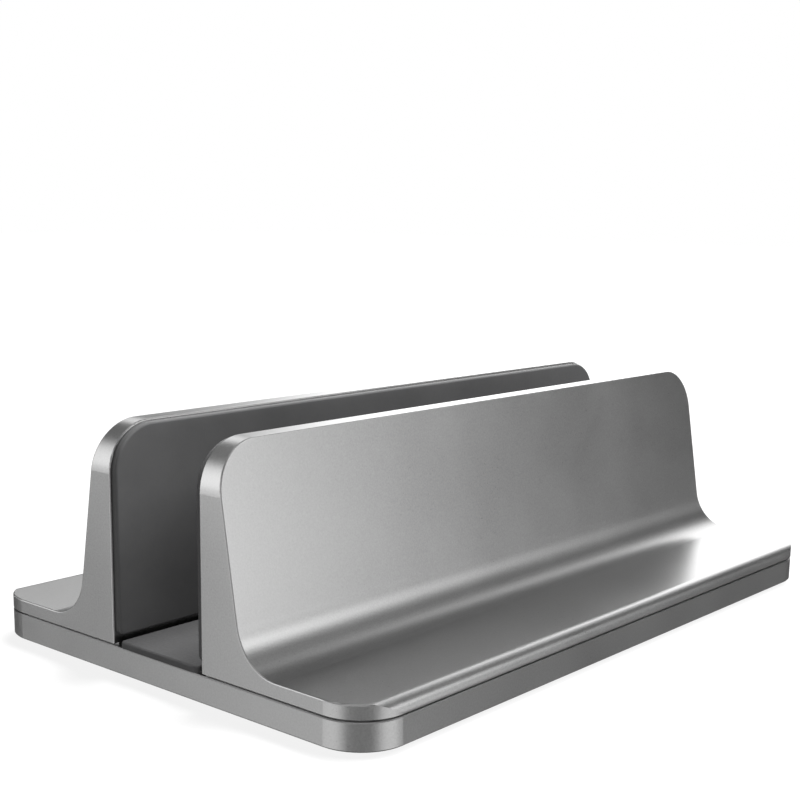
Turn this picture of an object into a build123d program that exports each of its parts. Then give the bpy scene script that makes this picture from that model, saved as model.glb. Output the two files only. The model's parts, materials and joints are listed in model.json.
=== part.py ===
from build123d import *
import math
import os

# Vertical laptop stand: a flat base plate, two L-shaped uprights that slide apart on it, and
# silicone pads that hold the laptop on edge between them.
# Millimetres, +Z up, +X along the slot, the origin on the desk under the middle of the stand.
# The front half lies at negative Y and the rear half at positive Y.

# Base plate
stand_length = 170.0
base_width = 110.0
base_thickness = 5.6
plan_corner_radius = 10.0
top_chamfer = 0.2
bottom_chamfer = 0.3

# Uprights
upright_height = 45.2
slot_half_width = 13.2
wall_top_thickness = 4.4
wall_taper = 9.5
foot_thickness = 3.3
root_radius = 10.0
seam_height = 0.45
seam_depth = 1.2
foot_edge_radius = 2.6
top_corner_radius = 10.0
top_edge_radius = 0.7
edge_break = 0.3

# Silicone pads
side_pad_thickness = 1.5
side_pad_inset = 0.5
side_pad_bottom_gap = 2.25
side_pad_bottom_radius = 1.5
floor_pad_thickness = 1.4
floor_pad_side_gap = 0.2
floor_pad_end_inset = 0.1
floor_pad_corner_radius = 1.0
pad_edge_radius = 0.5

# Rubber feet, set into the underside
foot_proud = 1.0
foot_recess_depth = 0.8
foot_diameter = 12.0
foot_fit = 0.15
foot_edge_distance = 14.0
foot_edge_break = 0.4

# Width adjustment: screws from below, in slots across the base plate
adjust_travel = 8.0
screw_spacing = 110.0
screw_setback = 5.6
thread_diameter = 4.0
thread_clearance = 0.05
thread_depth = 8.0
thread_end_gap = 0.8
slot_clearance = 0.35
head_diameter = 7.6
head_height = 2.2
head_edge_break = 0.5
socket_width = 2.5
socket_depth = 1.3
washer_diameter = 9.0
washer_thickness = 0.8
washer_clearance = 0.15
groove_clearance = 0.35
groove_floor_gap = 0.4

# Heights and distances that follow from the sizes above
base_bottom = foot_proud
base_top = base_bottom + base_thickness
foot_top = base_top + foot_thickness
upright_top = base_top + upright_height
wall_slope = math.tan(math.radians(wall_taper))
wall_top_outer = slot_half_width + wall_top_thickness
wall_root_outer = wall_top_outer + (upright_top - foot_top) * wall_slope
screw_distance = slot_half_width + screw_setback
screw_head_bottom = base_bottom + groove_floor_gap
washer_bottom = screw_head_bottom + head_height
groove_top = washer_bottom + washer_thickness
foot_x = stand_length / 2 - foot_edge_distance
foot_y = base_width / 2 - foot_edge_distance

sides = {"front": -1, "rear": 1}
ends = {"left": -1, "right": 1}

os.makedirs("parts", exist_ok=True)


def save(part, name):
    part.label = name
    export_step(part, f"parts/{name}.step")


def section_plane(side):
    """The plane of one end face: x runs outward from the middle of the slot, y runs up."""
    return Plane(origin=(-side * stand_length / 2, 0, 0), x_dir=(0, side, 0), z_dir=(side, 0, 0))


def wall_plane(side, distance):
    """A plane along the slot, facing its middle: x runs along the slot, y runs up."""
    return Plane(origin=(0, side * distance, 0), x_dir=(side, 0, 0), z_dir=(0, -side, 0))


# Base plate: one rounded slab with four stepped adjusting slots and four foot recesses below
slot_centre = screw_distance + adjust_travel / 2
slot_places = [
    (end * screw_spacing / 2, side * slot_centre) for side in sides.values() for end in ends.values()
]
with BuildPart() as base_plate:
    with BuildSketch(Plane.XY.offset(base_bottom)):
        RectangleRounded(stand_length, base_width, plan_corner_radius)
    extrude(amount=base_thickness)
    chamfer(base_plate.faces().sort_by(Axis.Z)[-1].edges(), top_chamfer)
    chamfer(base_plate.faces().sort_by(Axis.Z)[0].edges(), bottom_chamfer)
    with BuildSketch(Plane.XY.offset(base_bottom)):
        with Locations(*slot_places):
            SlotCenterToCenter(adjust_travel, thread_diameter + 2 * slot_clearance, rotation=90)
    extrude(amount=base_thickness, mode=Mode.SUBTRACT)
    with BuildSketch(Plane.XY.offset(base_bottom)):
        with Locations(*slot_places):
            SlotCenterToCenter(adjust_travel, washer_diameter + 2 * groove_clearance, rotation=90)
    extrude(amount=groove_top - base_bottom, mode=Mode.SUBTRACT)
    with BuildSketch(Plane.XY.offset(base_bottom)):
        with GridLocations(2 * foot_x, 2 * foot_y, 2, 2):
            Circle(foot_diameter / 2 + foot_fit)
    extrude(amount=foot_recess_depth, mode=Mode.SUBTRACT)
save(base_plate.part, "base_plate")


# Uprights: an extruded L with a tapered wall, cut to rounded top corners and to the plate's plan.
# Their end cuts have broken edges, and a shallow rebate makes the dark seam above the plate.
top_outer_corner = (wall_top_outer, upright_top)
foot_outer_corner = (base_width / 2, foot_top)
root_corner = (wall_root_outer, foot_top)
profile = [
    (slot_half_width, base_top),
    (base_width / 2, base_top),
    foot_outer_corner,
    root_corner,
    top_outer_corner,
    (slot_half_width, upright_top),
]
for name, side in sides.items():
    with BuildPart() as upright:
        with BuildSketch(section_plane(side)) as section:
            with BuildLine():
                Polyline(*profile, close=True)
            make_face()
            fillet(section.vertices().sort_by_distance(root_corner)[0], root_radius)
        extrude(amount=stand_length)
        with BuildSketch(Plane.XZ.offset(-base_width / 2)) as outline:
            with Locations((0, (base_top + upright_top) / 2)):
                Rectangle(stand_length, upright_height)
            fillet(outline.vertices().group_by(Axis.Y)[-1], top_corner_radius)
        extrude(amount=base_width, mode=Mode.INTERSECT)
        with BuildSketch(Plane.XY.offset(base_top)):
            RectangleRounded(stand_length, base_width, plan_corner_radius)
        extrude(amount=upright_height, mode=Mode.INTERSECT)

        # The rim is every edge of the wall's two sides, the root and the foot, apart from the edges
        # where two of them meet
        skin = upright.faces().filter_by(lambda face: abs(face.normal_at().X) < 0.01)
        skin = skin.filter_by(lambda face: foot_top - 0.1 < face.center().Z < upright_top - 0.1)
        edges = skin.edges().filter_by(lambda edge: edge.center().Z > base_top + 0.1)
        rim = [edge for edge in edges if sum(edge in face.edges() for face in skin) == 1]
        fillet(rim, edge_break)

        with BuildSketch(section_plane(side)) as rounded_section:
            with BuildLine():
                Polyline(*profile, close=True)
            make_face()
            fillet(rounded_section.vertices().sort_by_distance(root_corner)[0], root_radius)
            fillet(rounded_section.vertices().sort_by_distance(top_outer_corner)[0], top_edge_radius)
            fillet(rounded_section.vertices().sort_by_distance(foot_outer_corner)[0], foot_edge_radius)
        extrude(amount=stand_length, mode=Mode.INTERSECT)
        with BuildSketch(Plane.XY.offset(base_top)):
            Rectangle(2 * stand_length, 2 * base_width)
            RectangleRounded(
                stand_length - 2 * seam_depth,
                base_width - 2 * seam_depth,
                plan_corner_radius - seam_depth,
                mode=Mode.SUBTRACT,
            )
        extrude(amount=seam_height, mode=Mode.SUBTRACT)
        with BuildSketch(Plane.XY.offset(base_top)):
            with Locations(*[(end * screw_spacing / 2, side * screw_distance) for end in ends.values()]):
                Circle(thread_diameter / 2 + thread_clearance)
        extrude(amount=thread_depth + thread_end_gap, mode=Mode.SUBTRACT)
    save(upright.part, f"{name}_upright")


# Side pads: silicone sheets inset from the wall's outline, stopping short of the floor pad
for name, side in sides.items():
    with BuildPart() as side_pad:
        with BuildSketch(wall_plane(side, slot_half_width)) as outline:
            with Locations((0, (base_top + side_pad_bottom_gap + upright_top - side_pad_inset) / 2)):
                Rectangle(
                    stand_length - 2 * side_pad_inset,
                    upright_height - side_pad_bottom_gap - side_pad_inset,
                )
            fillet(outline.vertices().group_by(Axis.Y)[-1], top_corner_radius - side_pad_inset)
            fillet(outline.vertices().group_by(Axis.Y)[0], side_pad_bottom_radius)
        extrude(amount=side_pad_thickness)
        fillet(side_pad.faces().sort_by(Axis.Y)[0 if side > 0 else -1].edges(), pad_edge_radius)
    save(side_pad.part, f"{name}_side_pad")


# Floor pad: fits between the side pads when the uprights stand closest together
with BuildPart() as floor_pad:
    with BuildSketch(Plane.XY.offset(base_top)):
        RectangleRounded(
            stand_length - 2 * floor_pad_end_inset,
            2 * (slot_half_width - side_pad_thickness - floor_pad_side_gap),
            floor_pad_corner_radius,
        )
    extrude(amount=floor_pad_thickness)
    fillet(floor_pad.faces().sort_by(Axis.Z)[-1].edges(), pad_edge_radius)
save(floor_pad.part, "floor_pad")


# Below the uprights: a rubber foot near each corner, and two clamp screws with washers a side
for side_name, side in sides.items():
    for end_name, end in ends.items():
        with BuildPart() as rubber_foot:
            with BuildSketch(Plane.XY):
                with Locations((end * foot_x, side * foot_y)):
                    Circle(foot_diameter / 2)
            extrude(amount=foot_proud + foot_recess_depth)
            chamfer(rubber_foot.faces().sort_by(Axis.Z)[0].edges(), foot_edge_break)
        save(rubber_foot.part, f"rubber_foot_{side_name}_{end_name}")

        screw_place = (end * screw_spacing / 2, side * screw_distance)
        with BuildPart() as washer:
            with BuildSketch(Plane.XY.offset(washer_bottom)):
                with Locations(screw_place):
                    Circle(washer_diameter / 2)
                    Circle(thread_diameter / 2 + washer_clearance, mode=Mode.SUBTRACT)
            extrude(amount=washer_thickness)
        save(washer.part, f"washer_{side_name}_{end_name}")

        with BuildPart() as clamp_screw:
            with BuildSketch(Plane.XY.offset(screw_head_bottom)):
                with Locations(screw_place):
                    Circle(head_diameter / 2)
            extrude(amount=head_height)
            chamfer(clamp_screw.faces().sort_by(Axis.Z)[0].edges(), head_edge_break)
            with BuildSketch(Plane.XY.offset(washer_bottom)):
                with Locations(screw_place):
                    Circle(thread_diameter / 2)
            extrude(amount=base_top + thread_depth - washer_bottom)
            with BuildSketch(Plane.XY.offset(screw_head_bottom)):
                with Locations(screw_place):
                    RegularPolygon(socket_width / 2, 6, major_radius=False)
            extrude(amount=socket_depth, mode=Mode.SUBTRACT)
        save(clamp_screw.part, f"clamp_screw_{side_name}_{end_name}")
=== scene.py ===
import json
import math

import bpy
from mathutils import Matrix, Vector

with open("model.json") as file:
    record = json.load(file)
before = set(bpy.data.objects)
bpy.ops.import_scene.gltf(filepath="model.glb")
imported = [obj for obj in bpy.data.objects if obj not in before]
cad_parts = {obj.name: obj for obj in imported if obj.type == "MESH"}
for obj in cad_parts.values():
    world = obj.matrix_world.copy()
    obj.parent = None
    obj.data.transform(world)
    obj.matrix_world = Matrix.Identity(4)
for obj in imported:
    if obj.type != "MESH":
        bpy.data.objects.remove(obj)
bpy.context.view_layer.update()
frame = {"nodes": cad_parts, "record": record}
scene = bpy.context.scene
scene.view_settings.view_transform = "Standard"

# Camera, from the fit to the photograph: angles in degrees, the eye in metres, the rest as on a lens
YAW = 40.6840
PITCH = 11.2764
ROLL = 0.8549
EYE = Vector((-0.251315, -0.204996, 0.095007))
LENS = 62.709
SENSOR_WIDTH = 36
SHIFT_UP = 0.10
NEAREST = 0.01


def make_camera():
    """The camera looks along the yaw, tilted down by the pitch and turned about its own line of sight."""
    yaw, pitch, roll = (math.radians(angle) for angle in (YAW, PITCH, ROLL))
    forward = Vector((math.cos(yaw) * math.cos(pitch), math.sin(yaw) * math.cos(pitch), -math.sin(pitch)))
    right = Vector((math.sin(yaw), -math.cos(yaw), 0))
    up = right.cross(forward)
    cam_x = right * math.cos(roll) + up * math.sin(roll)
    cam_y = up * math.cos(roll) - right * math.sin(roll)
    data = bpy.data.cameras.new("camera")
    data.sensor_width = SENSOR_WIDTH
    data.lens = LENS
    data.shift_y = SHIFT_UP
    data.clip_start = NEAREST
    camera = bpy.data.objects.new("camera", data)
    camera.matrix_world = Matrix.Translation(EYE) @ Matrix((cam_x, cam_y, -forward)).transposed().to_4x4()
    scene.collection.objects.link(camera)
    scene.camera = camera


make_camera()


class Tree:
    """Short calls for making and joining shader nodes."""

    def __init__(self, owner):
        owner.use_nodes = True
        self.nodes = owner.node_tree.nodes
        self.links = owner.node_tree.links
        self.nodes.clear()

    def node(self, kind, **values):
        made = self.nodes.new(kind)
        for key, value in values.items():
            setattr(made, key, value)
        return made

    def plug(self, value, socket):
        if isinstance(value, bpy.types.NodeSocket):
            self.links.new(value, socket)
        else:
            socket.default_value = value

    def math(self, operation, *values):
        made = self.node("ShaderNodeMath", operation=operation)
        for value, socket in zip(values, made.inputs):
            self.plug(value, socket)
        return made.outputs[0]

    def step(self, value, low, high, start=0.0, end=1.0):
        made = self.node("ShaderNodeMapRange", interpolation_type="SMOOTHSTEP")
        self.plug(value, made.inputs["Value"])
        self.plug(low, made.inputs["From Min"])
        self.plug(high, made.inputs["From Max"])
        self.plug(start, made.inputs["To Min"])
        self.plug(end, made.inputs["To Max"])
        return made.outputs["Result"]

    def noise(self, vector, scale, detail, roughness):
        made = self.node("ShaderNodeTexNoise")
        self.plug(vector, made.inputs["Vector"])
        self.plug(scale, made.inputs["Scale"])
        self.plug(detail, made.inputs["Detail"])
        self.plug(roughness, made.inputs["Roughness"])
        return made.outputs["Fac"]

    def ramp(self, value, *stops):
        made = self.node("ShaderNodeValToRGB")
        self.plug(value, made.inputs["Fac"])
        elements = made.color_ramp.elements
        while len(elements) < len(stops):
            elements.new(0.5)
        for element, (place, colour) in zip(elements, stops):
            element.position = place
            element.color = (*colour, 1)
        return made.outputs["Color"]

    def bump(self, height, strength, distance):
        made = self.node("ShaderNodeBump")
        self.plug(strength, made.inputs["Strength"])
        self.plug(distance, made.inputs["Distance"])
        self.plug(height, made.inputs["Height"])
        return made.outputs["Normal"]


class Surface:
    """A material with a Principled shader, whose colour, roughness and relief follow noises."""

    def __init__(self, name, metallic, specular=None):
        self.material = bpy.data.materials.new(name)
        self.tree = Tree(self.material)
        out = self.tree.node("ShaderNodeOutputMaterial")
        self.shader = self.tree.node("ShaderNodeBsdfPrincipled")
        self.tree.plug(self.shader.outputs["BSDF"], out.inputs["Surface"])
        self.shader.inputs["Metallic"].default_value = metallic
        if specular is not None:
            self.shader.inputs["Specular IOR Level"].default_value = specular
        self.place = self.tree.node("ShaderNodeTexCoord").outputs["Object"]

    def noise(self, scale, detail, roughness):
        return self.tree.noise(self.place, scale, detail, roughness)

    def colour(self, value, *stops):
        """Each stop is a value, from 0 to 1, and the colour there."""
        self.tree.plug(self.tree.ramp(value, *stops), self.shader.inputs["Base Color"])

    def roughness(self, value, low, high, smooth, rough):
        """From smooth to rough, while the value goes from low to high."""
        self.tree.plug(self.tree.step(value, low, high, smooth, rough), self.shader.inputs["Roughness"])

    def relief(self, height, strength, distance):
        """Bumps that are as deep as the distance, in metres."""
        self.tree.plug(self.tree.bump(height, strength, distance), self.shader.inputs["Normal"])


def anodised_aluminium():
    """Bead-blasted, anodised aluminium: a fine even grain, with faint wide changes of tone."""
    made = Surface("anodised_aluminium", metallic=1.0)
    grain_share = 0.7
    grain = made.noise(scale=2600.0, detail=3.0, roughness=0.65)
    cloud = made.noise(scale=38.0, detail=3.0, roughness=0.5)
    fine = made.tree.math("MULTIPLY", grain, grain_share)
    wide = made.tree.math("MULTIPLY", cloud, 1.0 - grain_share)
    tone = made.tree.math("ADD", fine, wide)
    made.colour(tone, (0.28, (0.30, 0.30, 0.30)), (0.72, (0.40, 0.40, 0.40)))
    made.roughness(tone, low=0.25, high=0.75, smooth=0.27, rough=0.36)
    made.relief(grain, strength=0.35, distance=0.00004)
    return made.material


def black_silicone():
    """Black silicone, with the faint grain of its mould."""
    made = Surface("black_silicone", metallic=0.0, specular=0.2)
    grain = made.noise(scale=1500.0, detail=3.0, roughness=0.6)
    dust = made.noise(scale=60.0, detail=4.0, roughness=0.6)
    made.colour(dust, (0.3, (0.085, 0.085, 0.086)), (0.75, (0.105, 0.105, 0.106)))
    made.roughness(grain, low=0.3, high=0.7, smooth=0.42, rough=0.56)
    made.relief(grain, strength=0.3, distance=0.00005)
    return made.material


def foot_rubber():
    """Harder rubber of the feet."""
    made = Surface("foot_rubber", metallic=0.0, specular=0.35)
    grain = made.noise(scale=900.0, detail=4.0, roughness=0.7)
    made.colour(grain, (0.3, (0.022, 0.022, 0.022)), (0.7, (0.040, 0.040, 0.040)))
    made.roughness(grain, low=0.3, high=0.7, smooth=0.6, rough=0.78)
    made.relief(grain, strength=0.4, distance=0.00008)
    return made.material


def screw_steel():
    """Black oxide on the screws."""
    made = Surface("screw_steel", metallic=1.0)
    grain = made.noise(scale=1200.0, detail=3.0, roughness=0.6)
    made.colour(grain, (0.3, (0.07, 0.07, 0.075)), (0.7, (0.13, 0.13, 0.135)))
    made.roughness(grain, low=0.3, high=0.7, smooth=0.32, rough=0.45)
    return made.material


def washer_steel():
    """Bright zinc on the washers."""
    made = Surface("washer_steel", metallic=1.0)
    grain = made.noise(scale=700.0, detail=4.0, roughness=0.6)
    made.colour(grain, (0.3, (0.52, 0.51, 0.48)), (0.7, (0.66, 0.65, 0.62)))
    made.roughness(grain, low=0.3, high=0.7, smooth=0.22, rough=0.34)
    return made.material


materials = {
    "anodised_aluminium": anodised_aluminium(),
    "black_silicone": black_silicone(),
    "foot_rubber": foot_rubber(),
    "screw_steel": screw_steel(),
    "washer_steel": washer_steel(),
}
for part in frame["record"]["subparts"]:
    mesh = frame["nodes"][part["node"]].data
    mesh.materials.clear()
    mesh.materials.append(materials[part["material_slot"]])

# The studio that the metal reflects. Azimuth runs from +X towards +Y, elevation up from the horizon,
# both in degrees, and the camera stands at an azimuth of about -140.
# Each soft box has a level, two azimuths, two elevations, and how softly the four edges fade
BOXES = [
    (3.0, (-80, -45), (-30, 13), (25, 7, 5, 15)),
    (4.2, (-66, -37), (19, 38), (24, 8, 12, 8)),
    (3.0, (4, 45), (0, 40), (10, 5, 5, 12)),
    (2.5, (48, 66), (21, 42), (5, 6, 12, 10)),
    (2.8, (116, 149), (-8, 34), (19, 12, 9, 8)),
    (1.0, (151, 190), (-6, 30), (5, 5, 6, 8)),
    (1.0, (-190, -118), (-6, 30), (5, 5, 6, 8)),
]

# The walls grow lighter with height, and the ceiling adds to them: two elevations, then two levels
WALLS = (24.0, 50.0, 0.05, 0.48)
CEILING = (62.0, 85.0, 0.0, 0.9)

# The studio floor away from the stand is dim, with pools of light on it: one in front of the stand, one
# off its left end and a faint one below the camera. Each adds a level, and has the azimuth of its middle,
# a half width and how softly its edges fade
FLOOR_LEVEL = 0.17
FLOOR_POOLS = [
    (1.3, -75, 26, 14),
    (1.3, 158, 26, 14),
    (0.2, -140, 35, 10),
]

# The elevations between which the floor gives way to the walls
HORIZON = (-14.0, -2.0)

# The world is white to the camera, and this faint to what isn't metal
DIFFUSE_FILL = 0.10


def between(tree, value, low, high, low_fade, high_fade):
    """1 between two values and 0 outside them, fading over each."""
    rise = tree.step(value, low - low_fade, low + low_fade)
    fall = tree.step(value, high - high_fade, high + high_fade, 1.0, 0.0)
    return tree.math("MULTIPLY", rise, fall)


def studio_light(tree):
    """The studio's level in the direction that a ray looks: soft boxes above, the floor below."""
    way = tree.node("ShaderNodeSeparateXYZ")
    tree.plug(tree.node("ShaderNodeTexCoord").outputs["Generated"], way.inputs[0])
    azimuth = tree.math("DEGREES", tree.math("ARCTAN2", way.outputs["Y"], way.outputs["X"]))
    elevation = tree.math("DEGREES", tree.math("ARCSINE", way.outputs["Z"]))

    upper = tree.math("ADD", tree.step(elevation, *WALLS), tree.step(elevation, *CEILING))
    for level, across, upright, (left, right, bottom, top) in BOXES:
        inside = tree.math(
            "MULTIPLY",
            between(tree, azimuth, *across, left, right),
            between(tree, elevation, *upright, bottom, top),
        )
        upper = tree.math("ADD", upper, tree.math("MULTIPLY", inside, level))

    lower = FLOOR_LEVEL
    for level, middle, half_width, fade in FLOOR_POOLS:
        away = tree.math("WRAP", tree.math("SUBTRACT", azimuth, middle), 180.0, -180.0)
        away = tree.math("ABSOLUTE", away)
        pool = tree.step(away, half_width - fade, half_width + fade, level, 0.0)
        lower = tree.math("ADD", pool, lower)

    above = tree.step(elevation, *HORIZON)
    below = tree.math("SUBTRACT", 1.0, above)
    return tree.math("ADD", tree.math("MULTIPLY", upper, above), tree.math("MULTIPLY", lower, below))


def make_world():
    world = bpy.data.worlds.new("studio")
    world.cycles.sampling_method = "NONE"
    scene.world = world
    tree = Tree(world)
    out = tree.node("ShaderNodeOutputWorld")
    rays = tree.node("ShaderNodeLightPath")
    strength = tree.math("MULTIPLY", studio_light(tree), rays.outputs["Is Glossy Ray"])
    fill = tree.math("MULTIPLY", rays.outputs["Is Diffuse Ray"], DIFFUSE_FILL)
    strength = tree.math("ADD", strength, fill)
    strength = tree.math("ADD", strength, rays.outputs["Is Camera Ray"])
    strength = tree.math("ADD", strength, rays.outputs["Is Transmission Ray"])
    studio = tree.node("ShaderNodeBackground")
    studio.inputs["Color"].default_value = (1, 1, 1, 1)
    tree.plug(strength, studio.inputs["Strength"])
    tree.plug(studio.outputs[0], out.inputs["Surface"])


make_world()

# Soft lamps that the metal doesn't mirror: one overhead for the floor of the slot and the shadow,
# one in front for the upper part of the rear pad, and one on the left for its near end.
# Each has a name, watts, a place and a size
LAMPS = [
    ("overhead", 20.0, (0.25, -0.03, 1.0), (0.6, 0.35)),
    ("front", 10.0, (0.35, -0.7, 0.75), (0.6, 0.5)),
    ("left", 1.3, (-0.35, -0.6, 0.06), (0.5, 0.1)),
]
for name, watts, place, size in LAMPS:
    lamp_data = bpy.data.lights.new(name, "AREA")
    lamp_data.shape = "RECTANGLE"
    lamp_data.size, lamp_data.size_y = size
    lamp_data.energy = watts
    lamp = bpy.data.objects.new(name, lamp_data)
    lamp.location = place
    lamp.rotation_euler = (-Vector(place)).to_track_quat("-Z", "Y").to_euler()
    lamp.visible_glossy = False
    lamp.visible_camera = False
    scene.collection.objects.link(lamp)

# Floor: pale, almost white to the camera near the stand and white further off, and it keeps the
# object's shadow. It lies a hair below the feet, so that the two faces don't flicker
FLOOR_SIZE = 6.0
FLOOR_DROP = 0.0002
FLOOR_COLOUR = (0.15, 0.15, 0.15, 1)
FLOOR_GLOW = (0.25, 0.7, 0.85, 1.0)


def make_floor():
    """The glow goes from one level to another between two distances from the middle."""
    material = bpy.data.materials.new("floor_pale")
    tree = Tree(material)
    out = tree.node("ShaderNodeOutputMaterial")
    diffuse = tree.node("ShaderNodeBsdfDiffuse")
    diffuse.inputs["Color"].default_value = FLOOR_COLOUR
    distance = tree.node("ShaderNodeVectorMath", operation="LENGTH")
    tree.plug(tree.node("ShaderNodeTexCoord").outputs["Object"], distance.inputs[0])
    level = tree.step(distance.outputs["Value"], *FLOOR_GLOW)
    rays = tree.node("ShaderNodeLightPath")
    glow = tree.node("ShaderNodeEmission")
    tree.plug(tree.math("MULTIPLY", rays.outputs["Is Camera Ray"], level), glow.inputs["Strength"])
    both = tree.node("ShaderNodeAddShader")
    tree.plug(diffuse.outputs[0], both.inputs[0])
    tree.plug(glow.outputs[0], both.inputs[1])
    tree.plug(both.outputs[0], out.inputs["Surface"])

    bpy.ops.mesh.primitive_plane_add(size=FLOOR_SIZE, location=(0, 0, -FLOOR_DROP))
    floor = bpy.context.object
    floor.name = "floor"
    floor.visible_glossy = False
    floor.data.materials.append(material)
    return floor


floor = make_floor()
